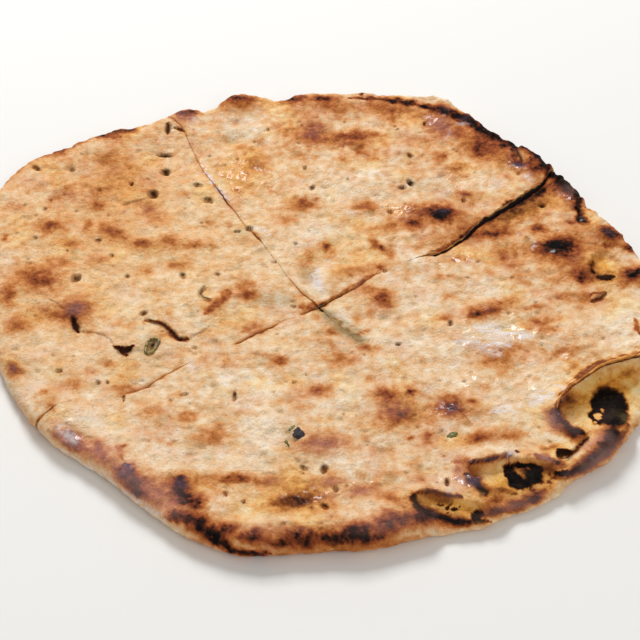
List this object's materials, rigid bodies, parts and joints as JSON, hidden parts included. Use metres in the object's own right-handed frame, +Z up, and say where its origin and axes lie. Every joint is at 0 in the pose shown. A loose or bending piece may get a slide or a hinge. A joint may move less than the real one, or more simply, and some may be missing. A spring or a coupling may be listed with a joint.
{
  "type": "naan bread",
  "caption": "Round tandoor flatbread cut crosswise into quarters that lie together, with a blistered, browned crust and a rolled charred rim.",
  "frame": {"origin": "middle of the bread's footprint, on its underside", "axes": "+Z up out of the crust, +X to the right and +Y to the back of the bread as it lies"},
  "size_m": [0.2542, 0.2412, 0.0112],
  "materials": {
    "crust_back": "baked wheat crust, buttered, browned on its bubbles and charred along the rim",
    "crust_left": "baked wheat crust, mostly matte, pricked and lightly browned",
    "crust_front": "baked wheat crust with a dark rolled rim, burst blisters and herb flecks",
    "crust_right": "baked wheat crust, glossy with butter, with a large burst blister"
  },
  "bodies": {
    "root": {"quarter_back": "crust_back", "quarter_left": "crust_left", "quarter_front": "crust_front", "quarter_right": "crust_right"}
  },
  "joints": []
}
